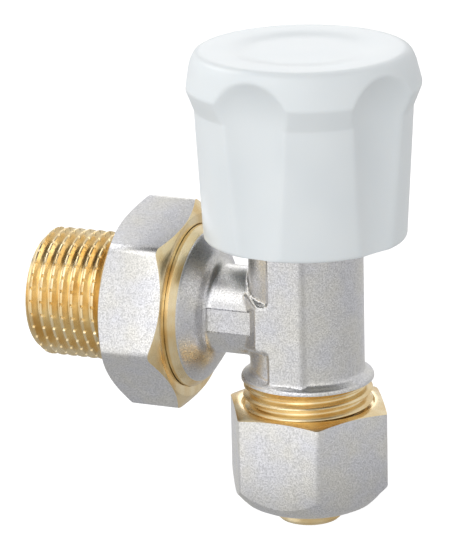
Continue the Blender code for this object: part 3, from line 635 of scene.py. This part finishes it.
# %% Turn, thread and nick the tail
NICKS = 30
NICK_STEPS = 8
NICK_DEPTH = 0.35
TAIL_CREST = (0.0, 0.03, 0.45, 0.85, 1.0, 1.0, 0.85, 0.45, 0.03)
TAIL_BORE, SPIGOT, SHOULDER_PLACE, TAIL_FLANGE = 7.5, 8.3, 31.7, 11.9
RING_GROOVE_START, RING_GROOVE_END = 23.8, 25.3
flange_in, flange_out = outlet_end + 0.3, outlet_end + 1.8
outlines = []
for step in range(NICKS * NICK_STEPS + 1):
    nick = NICK_DEPTH if step % NICK_STEPS == 0 else 0.0
    share = step / (NICKS * NICK_STEPS)
    rows = [(TAIL_BORE + 0.3, tail_end), (TAIL_BORE, tail_end - 0.3), (TAIL_BORE, flange_out)]
    rows += [(SPIGOT - 2.3, flange_in), (SPIGOT - 2.3, tail_start), (SPIGOT - 0.2, tail_start)]
    rows += [(SPIGOT, tail_start + 0.2), (SPIGOT, RING_GROOVE_START)]
    rows += [(SPIGOT - 1, RING_GROOVE_START), (SPIGOT - 1, RING_GROOVE_END)]
    rows += [(SPIGOT, RING_GROOVE_END), (SPIGOT, flange_in), (TAIL_FLANGE - 0.1, flange_in)]
    rows += [(TAIL_FLANGE, flange_in + 0.1), (TAIL_FLANGE, flange_out - 0.1)]
    rows += [(TAIL_FLANGE - 0.1, flange_out), (HALF_INCH - 0.1, flange_out)]
    rows += [(HALF_INCH, flange_out + 0.1), (HALF_INCH, SHOULDER_PLACE - 0.2)]
    rows += [(HALF_INCH - 0.3, SHOULDER_PLACE)]
    rows += thread_rows(HALF_INCH, SHOULDER_PLACE, tail_end, share, nick, grooves=TAIL_CREST)
    outlines.append(rows)
tail = put("threaded_tail", skin("threaded_tail", outlines, ["raw_brass"]), branch)
dress(tail, "tail", "union_tail")
print(NICKS, "nicks in each crest of the tail")

# %% [markdown]
# ## The key lugs
# A stepped key turns the tail by two lugs inside its bore. They are short slabs with rounded corners,
# sunk a little into the wall so that no gap shows.

# %% Set the key lugs in the tail's bore
KEY_LUG = [(-1.2, tail_end - 9), (1.2, tail_end - 9), (1.2, tail_end - 3), (-1.2, tail_end - 3)]
for side in (-1, 1):
    inner, outer = sorted((side * (TAIL_BORE - 1.2), side * (TAIL_BORE + 0.6)))
    lug_mesh = plate(soften(KEY_LUG, 0.4), inner, outer)
    lug_mesh.materials.append(brass)
    lug_name = "key_lug_low" if side < 0 else "key_lug_high"
    lug = put(lug_name, lug_mesh, branch @ Matrix.Rotation(math.radians(-90), 4, "Z"))
    dress(lug, "tail", "union_tail")
    print(lug.name, "is", round(outer - inner, 2), "mm deep")

# %% [markdown]
# ## Hexagon nuts
# A nut starts as plated hexagon bar with slightly rolled corners. Then a lathe turns the corners off
# at each end, which leaves a curved edge on every flat, bright where it cuts through the plating.
# A turned envelope does the same here: what the bar and the envelope share is the nut.


# %% Nut helper
CORNER_STEPS = 4
NUT_EDGE = 0.12


def hexagon_nut(name, flats, low, high, first_corner, roll, envelope, finish_of_row, tap, place=None):
    """A plated nut between two heights, from its bar, its turned envelope and its tap."""
    corner = flats / math.sqrt(3)
    centre = corner - roll * 2 / math.sqrt(3)
    outline = []
    for side in range(6):
        middle = math.radians(first_corner + side * 60)
        for k in range(-CORNER_STEPS, CORNER_STEPS + 1):
            angle = middle + math.radians(k * 30 / CORNER_STEPS)
            across = centre * math.cos(middle) + roll * math.cos(angle)
            along = centre * math.sin(middle) + roll * math.sin(angle)
            outline.append((across, along))
    bar = plate(outline, -high, -low)
    bar.transform(Matrix.Rotation(math.radians(-90), 4, "X"))
    bar.materials.append(plated)
    nut = put(name, bar, place)
    finish_names = ["plated_brass", "raw_brass"]
    cover = skin(name + "_envelope", [envelope] * (ROUND_STEPS + 1), finish_names, finish_of_row)
    combine(nut, put(name + "_envelope", cover, place), "INTERSECT")
    edges = nut.modifiers.new("edges", "BEVEL")
    edges.width = NUT_EDGE * MM
    edges.segments = 2
    edges.limit_method = "ANGLE"
    edges.angle_limit = math.radians(17)
    combine(nut, put(name + "_tap", skin(name + "_tap", tap, ["raw_brass"]), place), "DIFFERENCE")
    settle(nut)
    return nut


print("nut edges are bevelled by", NUT_EDGE, "mm")

# %% [markdown]
# ## The union nut
# The larger nut is threaded as far as an inner lip, which pulls the tail's flange onto the body. The
# face and the chamfer towards the body were cut after plating, so they are bare brass.

# %% Cut the union nut
UNION_FLATS, UNION_CORNER = 30.0, 15.5
union_corner = UNION_FLATS / math.sqrt(3)
lip_inner = union_lip - 1.5
envelope = [(0, union_face), (14.9, union_face), (union_corner + 0.4, union_face + 2.0)]
envelope += [(union_corner + 0.4, union_lip - 1.7), (14.6, union_lip), (0, union_lip)]
tap = []
for step in range(THREAD_STEPS + 1):
    rows = [(0, union_face - 1), (THREE_QUARTER + 0.14, union_face - 1)]
    rows += [(THREE_QUARTER + 0.14, union_face + 0.5)]
    rows += thread_rows(THREE_QUARTER + 0.12, union_face + 0.5, lip_inner, step / THREAD_STEPS)
    rows += [(HALF_INCH + 0.3, lip_inner), (HALF_INCH + 0.3, union_lip + 1), (0, union_lip + 1)]
    tap.append(rows)
union_nut = hexagon_nut(
    "union_hexagon_nut", UNION_FLATS, union_face - 1, union_lip + 1, UNION_CORNER, 1.9,
    envelope, [1, 1, 0, 0, 0, 0], tap, branch,
)
dress(union_nut, "union_nut", "union_nut")
print(len(union_nut.data.polygons), "faces on the union nut")

# %% [markdown]
# ## The compression nut
# The smaller nut squeezes the split ring onto the pipe. Its foot is turned off in a wide chamfer under
# the plating, and only the upper face and its chamfer are bare.

# %% Cut the compression nut
PIPE_NUT_FLATS, PIPE_NUT_CORNER = 24.0, -2.5
PIPE_HOLE, FOOT_RADIUS = 8.2, 9.5
pipe_corner = PIPE_NUT_FLATS / math.sqrt(3)
cone_top = inlet_end - 2.1
envelope = [(0, nut_foot), (FOOT_RADIUS, nut_foot), (10.6, nut_foot + 0.55), (11.5, nut_foot + 1.45)]
envelope += [(12.3, nut_foot + 2.4), (13.1, nut_foot + 3.2), (pipe_corner + 0.2, nut_foot + 4.6)]
envelope += [(pipe_corner + 0.2, nut_top - 0.75), (pipe_corner - 2.6, nut_top), (0, nut_top)]
tap = []
for step in range(THREAD_STEPS + 1):
    rows = [(0, nut_foot - 1), (PIPE_HOLE, nut_foot - 1), (PIPE_HOLE, cone_top - 2.58)]
    rows += [(HALF_INCH - THREAD_DEPTH + 0.12, cone_top)]
    rows += thread_rows(HALF_INCH + 0.12, cone_top, nut_top - 0.6, step / THREAD_STEPS)
    rows += [(HALF_INCH + 0.3, nut_top - 0.6), (HALF_INCH + 0.3, nut_top + 1), (0, nut_top + 1)]
    tap.append(rows)
pipe_nut = hexagon_nut(
    "pipe_hexagon_nut", PIPE_NUT_FLATS, nut_foot - 1, nut_top + 1, PIPE_NUT_CORNER, 0.8,
    envelope, [0] * 7 + [1] * 3, tap,
)
dress(pipe_nut, "compression_nut", "compression_nut")
print(len(pipe_nut.data.polygons), "faces on the compression nut")

# %% [markdown]
# ## The pipe insert
# The insert goes inside the plastic pipe and keeps it round under the split ring. Its lower end
# shows below the nut, so it gets a finer turned mesh than the CAD piece.

# %% Turn the insert
TUBE, INSERT_BORE, INSERT_FLANGE = 5.3, 3.6, 7.9
FLANGE_FOOT, INSERT_FLANGE_TOP = 12.5, 14.2
insert_foot, insert_top = reach("pipe_insert", Z)
INSERT_SPIGOT = 6.1
HALF_RING = 0.75  # half the width of an O-ring's groove
outline = [(INSERT_BORE, insert_foot), (TUBE - 0.5, insert_foot), (TUBE, insert_foot + 0.5)]
for place in (inlet_end - 6.0, inlet_end - 2.6):
    outline += [(TUBE, place - HALF_RING), (TUBE - 0.8, place - HALF_RING)]
    outline += [(TUBE - 0.8, place + HALF_RING), (TUBE, place + HALF_RING)]
outline += [(TUBE, FLANGE_FOOT), (INSERT_FLANGE, FLANGE_FOOT), (INSERT_FLANGE, INSERT_FLANGE_TOP)]
middle = (INSERT_FLANGE_TOP + insert_top) / 2
outline += [(INSERT_SPIGOT, INSERT_FLANGE_TOP), (INSERT_SPIGOT, middle - HALF_RING)]
outline += [(INSERT_SPIGOT - 0.9, middle - HALF_RING), (INSERT_SPIGOT - 0.9, middle + HALF_RING)]
outline += [(INSERT_SPIGOT, middle + HALF_RING), (INSERT_SPIGOT, insert_top - 0.5)]
outline += [(INSERT_SPIGOT - 0.5, insert_top), (INSERT_BORE, insert_top)]
insert = put("turned_pipe_insert", turned("turned_pipe_insert", outline, "raw_brass", edge=0.12))
dress(insert, "insert", "pipe_insert")
print(f"the insert is {insert_top - insert_foot:.1f} mm long")

# %% [markdown]
# ## The cap
# The cap is one moulding: a crown that leans out, a soffit under it, and a grip that narrows
# downwards, with five wide flutes scooped out of it. A mould has no sharp edges either. At each angle
# the outline is the turned shape or the flute's wall, whichever lies further in, and a smooth minimum
# blends the two. That rounds every flute edge evenly, and no Boolean or bevel has to find it.

# %% Cap sizes and flute helpers
GRIP_FOOT_RADIUS, GRIP_TOP_RADIUS, CROWN_RADIUS, TOP_RADIUS = 16.2, 17.4, 18.75, 16.85
CROWN_HEIGHT, SOFFIT_HEIGHT = 5.8, 3.3
FLUTES, FLUTE_ANGLE, FLUTE_RADIUS, FLUTE_FLOOR = 5, -96.0, 12.5, 15.4
FLUTE_RISE, EDGE_BLEND = 3.9, 0.45
CAP_STEPS = 360
crown_low = cap_top - CROWN_HEIGHT
soffit_low = crown_low - SOFFIT_HEIGHT
flute_centre = FLUTE_FLOOR + FLUTE_RADIUS
flute_reach = math.sqrt(FLUTE_RADIUS**2 - (flute_centre - CROWN_RADIUS + 1.2) ** 2)
flute_dome = crown_low + FLUTE_RISE - flute_reach


def flute_wall(angle, height):
    """How far from the axis the nearest flute's wall is, at an angle and a height."""
    spacing = math.tau / FLUTES
    off = (angle - math.radians(FLUTE_ANGLE) + spacing / 2) % spacing - spacing / 2
    radius = math.sqrt(max(FLUTE_RADIUS**2 - max(height - flute_dome, 0) ** 2, 0))
    inside = radius**2 - (flute_centre * math.sin(off)) ** 2
    return flute_centre * math.cos(off) - math.sqrt(inside) if inside > 0 else flute_centre


def blend(a, b, width):
    """The lower of two values, rounded where they cross."""
    near = max(width - abs(a - b), 0) / width
    return min(a, b) - near * near * width / 4


def fine(outline, longest):
    """Splits long straight stretches of an outline, so that flutes can bend them."""
    points = []
    for start, end in zip(outline, outline[1:]):
        pieces = max(1, math.ceil(math.dist(start, end) / longest))
        points += [tuple(Vector(start).lerp(Vector(end), k / pieces)) for k in range(pieces)]
    return points + [outline[-1]]


print(FLUTES, "flutes, each cut to", FLUTE_FLOOR, "mm from the axis")

# %% [markdown]
# ## Moulding the cap
# The outside is softened corner by corner and then split into short stretches, so that the flutes can
# bend it. The inside is plain: a ceiling, and a round boss with a small ridge that holds the bush in.

# %% Shape the cap
LONGEST = 0.4
FLUTED_FROM = 12  # nearer the axis, the flutes leave the outline alone
outside = [(0, cap_bottom), (GRIP_FOOT_RADIUS - 1.5, cap_bottom), (GRIP_FOOT_RADIUS, cap_bottom)]
outside += [(GRIP_TOP_RADIUS, soffit_low), (CROWN_RADIUS - 0.05, crown_low)]
outside += [(CROWN_RADIUS, crown_low + 0.4)]
outside += [(TOP_RADIUS + 0.9, cap_top - 1.5), (TOP_RADIUS, cap_top), (TOP_RADIUS - 5, cap_top)]
outside += [(TOP_RADIUS - 8, cap_top - 0.4), (0, cap_top - 0.4)]
outside = soften(outside, [0, 0.3, 0.6, 0.25, 0.2, 0.3, 1.2, 1.3, 1.5, 1.5, 0])[1:]
outside = fine(outside, LONGEST)
ceiling = cap_top - 2.1
BOSS_INNER, BOSS_OUTER, BOSS_FOOT, CLIP_PLACE = 9.6, 10.9, 59.0, 67.0
inside = [(0, ceiling), (BOSS_INNER, ceiling), (BOSS_INNER, CLIP_PLACE + 0.7)]
inside += [(BOSS_INNER - 0.6, CLIP_PLACE + 0.4)]
inside += [(BOSS_INNER - 0.6, CLIP_PLACE - 0.4), (BOSS_INNER, CLIP_PLACE - 0.7), (BOSS_INNER, BOSS_FOOT)]
inside += [(BOSS_OUTER, BOSS_FOOT), (BOSS_OUTER, ceiling), (GRIP_TOP_RADIUS - 3.8, ceiling)]
inside += [(GRIP_TOP_RADIUS - 2.8, ceiling - 1), (GRIP_FOOT_RADIUS - 1.9, cap_bottom + 0.3)]
outlines = []
for step in range(CAP_STEPS + 1):
    angle = math.tau * step / CAP_STEPS
    fluted = []
    for radius, height in outside:
        wall = flute_wall(angle, height)
        fluted.append((blend(radius, wall, EDGE_BLEND) if radius > FLUTED_FROM else radius, height))
    outlines.append(fluted + inside)
cap = put("fluted_cap", skin("fluted_cap", outlines, ["white_abs"]))
dress(cap, "cap", "cap_shell")
print(len(cap.data.polygons), "faces on the cap")

# %% [markdown]
# ## The headwork under the cap
# Pull the cap off and the brass headwork shows: a hexagon, a neck and the spindle with its key
# socket. The bonnet is made as the nuts are, from hexagon bar and a turned envelope. Its flats keep
# their plating, and all that is turned is bare brass.

# %% Turn the bonnet
HEX_LOW, HEX_HIGH = 51.3, 56.5
BONNET_NECK, BONNET_BORE = 6.5, 4.35
bonnet_low, bonnet_top = reach("bonnet", Z)
BONNET_FLATS, BONNET_THREAD, CHAMBER_BORE = 19.0, 7.5, 5.3
THREAD_TOP, STEP_ABOVE_THREAD = 48.4, 4.8
corner = BONNET_FLATS / math.sqrt(3)
envelope = [(0, bonnet_low), (BONNET_THREAD, bonnet_low), (BONNET_THREAD, HEX_LOW)]
envelope += [(corner - 1.4, HEX_LOW), (corner + 0.1, HEX_LOW + 0.65)]
envelope += [(corner + 0.1, HEX_HIGH - 0.65), (corner - 1.4, HEX_HIGH), (BONNET_NECK, HEX_HIGH)]
envelope += [(BONNET_NECK, bonnet_top - 0.6), (BONNET_NECK - 0.6, bonnet_top), (0, bonnet_top)]
bore_step = THREAD_TOP + STEP_ABOVE_THREAD
bore = [(0, bonnet_low - 1), (CHAMBER_BORE, bonnet_low - 1), (CHAMBER_BORE, bore_step)]
bore += [(BONNET_BORE, bore_step)]
bore += [(BONNET_BORE, bonnet_top + 1), (0, bonnet_top + 1)]
bonnet = hexagon_nut(
    "headwork_bonnet", BONNET_FLATS, bonnet_low, bonnet_top, 0.0, 0.4,
    envelope, [1] * 11, [bore] * (ROUND_STEPS + 1),
)
dress(bonnet, "valve", "bonnet")
print(f"the bonnet is {bonnet_top - bonnet_low:.1f} mm tall")

# %% [markdown]
# ## The spindle
# The spindle is stepped: a button that lifts the shutter, a thin stem, a screw thread, and a shaft with
# two grooves for its seals. The thread is out of sight, so it stays a plain cylinder.

# %% Turn the spindle
spindle_low, spindle_top = reach("spindle", Z)
SHAFT, SHAFT_THREAD, STEM, BUTTON = 4.05, 5.0, 2.5, 3.4
outline = [(0, spindle_low), (BUTTON - 0.4, spindle_low), (BUTTON, spindle_low + 0.4)]
outline += [(BUTTON, spindle_low + 1.6), (STEM, spindle_low + 1.6)]
outline += [(STEM, THREAD_TOP - 4), (SHAFT_THREAD, THREAD_TOP - 4)]
outline += [(SHAFT_THREAD, THREAD_TOP), (SHAFT, THREAD_TOP)]
for place in (THREAD_TOP + 6.8, THREAD_TOP + 9.8):
    outline += [(SHAFT, place - HALF_RING), (SHAFT - 0.9, place - HALF_RING)]
    outline += [(SHAFT - 0.9, place + HALF_RING), (SHAFT, place + HALF_RING)]
outline += [(SHAFT, spindle_top - 0.4), (SHAFT - 0.4, spindle_top), (0, spindle_top)]
spindle = put("turned_spindle", turned("turned_spindle", outline, "raw_brass", edge=0.08))

# %% [markdown]
# ## The key socket
# The cutter for the hexagon socket is turned as well, with only six steps to the turn.

# %% Cut the key socket
KEY_FLATS, KEY_DEPTH = 6.0, 7.0
key_corner, key_floor, key_top = KEY_FLATS / math.sqrt(3), spindle_top - KEY_DEPTH, spindle_top + 1
key = [(0, key_floor), (key_corner, key_floor), (key_corner, key_top), (0, key_top)]
combine(spindle, put("key_socket", skin("key_socket", [key] * 7, ["raw_brass"])), "DIFFERENCE")
settle(spindle)
dress(spindle, "spindle", "spindle")
print(f"the key goes {KEY_DEPTH:.1f} mm into the spindle")

# %% [markdown]
# ## The camera
# A long lens from a little above keeps the nuts' edges nearly parallel, as a maker's catalogue likes
# to show them. The camera stands on a line at so many degrees round and above its target, and is
# rolled slightly. Its three axes are worked out in turn and put in a matrix, so there is no constraint
# to solve.

# %% Place the camera
AZIMUTH, ELEVATION, ROLL = math.radians(23.07), math.radians(17.01), math.radians(-1.29)
DISTANCE, LENS = 613.5, 252.0
TARGET = Vector((-13.61, 0, 39.87)) * MM
back = Vector((
    math.sin(AZIMUTH) * math.cos(ELEVATION),
    -math.cos(AZIMUTH) * math.cos(ELEVATION),
    math.sin(ELEVATION),
))
level = Vector((math.cos(AZIMUTH), math.sin(AZIMUTH), 0))
upright = back.cross(level)
right = level * math.cos(ROLL) + upright * math.sin(ROLL)
up = upright * math.cos(ROLL) - level * math.sin(ROLL)
lens = bpy.data.cameras.new("view")
lens.lens = LENS
lens.clip_start = 0.05
camera = bpy.data.objects.new("view", lens)
turn = Matrix((right, up, back)).transposed().to_4x4()
camera.matrix_world = Matrix.Translation(TARGET + back * DISTANCE * MM) @ turn
bpy.context.scene.collection.objects.link(camera)
bpy.context.scene.camera = camera
print(f"the camera stands {DISTANCE:.0f} mm away with a {LENS:.0f} mm lens")

# %% [markdown]
# ## The lamps
# Metal shows what is round it more than its own colour, so most of the work is done by large soft
# lamps. The strongest stands high on the left, two more stand in front and above, and one low in
# front lifts the undersides of the nuts. A small weak one behind draws a thin bright edge.


# %% Place the lamps
LAMP_DISTANCE = 1.2


def soft_light(name, side, height, size, power):
    """A square area light that looks at the valve from an angle round it and a height above it."""
    lamp = bpy.data.lights.new(name, "AREA")
    lamp.size = size
    lamp.energy = power
    angle, rise = math.radians(side), math.radians(height)
    away = Vector((
        math.sin(angle) * math.cos(rise), -math.cos(angle) * math.cos(rise), math.sin(rise)
    ))
    light = bpy.data.objects.new(name, lamp)
    light.location = TARGET + away * LAMP_DISTANCE
    light.rotation_euler = away.to_track_quat("Z", "Y").to_euler()
    bpy.context.scene.collection.objects.link(light)


soft_light("left", -100, 45, 0.8, 2.9)
soft_light("front", 5, 20, 0.9, 1.6)
soft_light("above", -20, 50, 0.7, 1.7)
soft_light("low", -38, -8, 1.0, 1.1)
soft_light("behind", -157, 17, 0.3, 0.3)
print(len(bpy.data.lights), "lamps at", LAMP_DISTANCE, "m")

# %% [markdown]
# ## The room
# The room round the valve is a world shader: pale walls, a little darker below the horizon, and a dark
# patch straight overhead. The far right side is mixed a little towards dark grey, because an evenly
# white room would leave the metal flat. The view transform is Standard, which leaves white as white.

# %% Paint the room
SHADED_SIDE = (0.87, 0.5, 0.0)  # the direction that the shade lies in
world = bpy.data.worlds.new("studio")
world.use_nodes = True
tree = world.node_tree
direction = add_node(tree, "ShaderNodeTexCoord", {}).outputs["Generated"]
height = add_node(tree, "ShaderNodeSeparateXYZ", {"Vector": direction}).outputs["Z"]
rise = add_node(tree, "ShaderNodeMapRange", {"Value": height, "From Min": -1.0}).outputs["Result"]
walls = add_node(tree, "ShaderNodeValToRGB", {"Fac": rise})
stops = walls.color_ramp.elements
while len(stops) < 6:
    stops.new(0.5)
below = [(0.25, "#B7B7B7"), (0.35, "#D9D9D9"), (0.475, "#D9D9D9")]
grey_at = below + [(0.525, "#EDEDED"), (0.88, "#EDEDED"), (0.94, "#4C4C50")]
for stop, (place, grey) in zip(stops, grey_at):
    stop.position = place
    stop.color = linear(grey)
side = add_node(
    tree, "ShaderNodeVectorMath", {0: direction, 1: SHADED_SIDE}, operation="DOT_PRODUCT"
).outputs["Value"]
far_side = add_node(
    tree, "ShaderNodeMapRange", {"Value": side, "From Min": 0.4, "To Max": 0.16}
).outputs["Result"]
room = add_node(
    tree, "ShaderNodeMix",
    {"Factor": far_side, FIRST: walls.outputs["Color"], SECOND: linear("#505054")},
    data_type="RGBA",
).outputs[MIXED]
tree.links.new(room, tree.nodes["Background"].inputs["Color"])
tree.nodes["Background"].inputs["Strength"].default_value = 1.0
bpy.context.scene.world = world
bpy.context.scene.view_settings.view_transform = "Standard"
print(len(grey_at), "greys from the floor to the ceiling")

# %% [markdown]
# ## The floor
# A sheet of pale paper lies under the valve, low enough for the pipe joint to be drawn down over it.
# Only the camera sees the sheet. A real one would throw much light up into the nuts, and the low lamp
# and the lower half of the room stand in for that. A little emission keeps the paper white where the
# lamps fall off.

# %% Lay the floor
FLOOR_SIZE, CLEARANCE, FIBRES = 40.0, 0.5, 30
floor_height = -joints["insert_draw"]["range_m"][1] - CLEARANCE * MM
floor_mesh = bpy.data.meshes.new("floor")
half = FLOOR_SIZE / 2
corners = ((-half, -half), (half, -half), (half, half), (-half, half))
floor_mesh.from_pydata([(x, y, floor_height) for x, y in corners], [], [(0, 1, 2, 3)])
paper, tree, shader = new_finish("studio_paper", Roughness=0.9)
spot = add_node(tree, "ShaderNodeTexCoord", {}).outputs["Object"]
fibres = add_node(
    tree, "ShaderNodeTexNoise", {"Vector": spot, "Scale": per_metre(FIBRES)}
).outputs["Fac"]
sheet_colour = add_node(
    tree, "ShaderNodeMix", {"Factor": fibres, FIRST: linear("#FBFBFB"), SECOND: linear("#FFFFFF")},
    data_type="RGBA",
).outputs[MIXED]
tree.links.new(sheet_colour, shader.inputs["Base Color"])
shader.inputs["Emission Color"].default_value = linear("#FFFFFF")
shader.inputs["Emission Strength"].default_value = 0.4
floor_mesh.materials.append(paper)
floor = put("floor", floor_mesh)
floor.visible_glossy = False
floor.visible_diffuse = False
floor.visible_shadow = False
print(f"the floor lies {-floor_height / MM:.1f} mm under the valve")
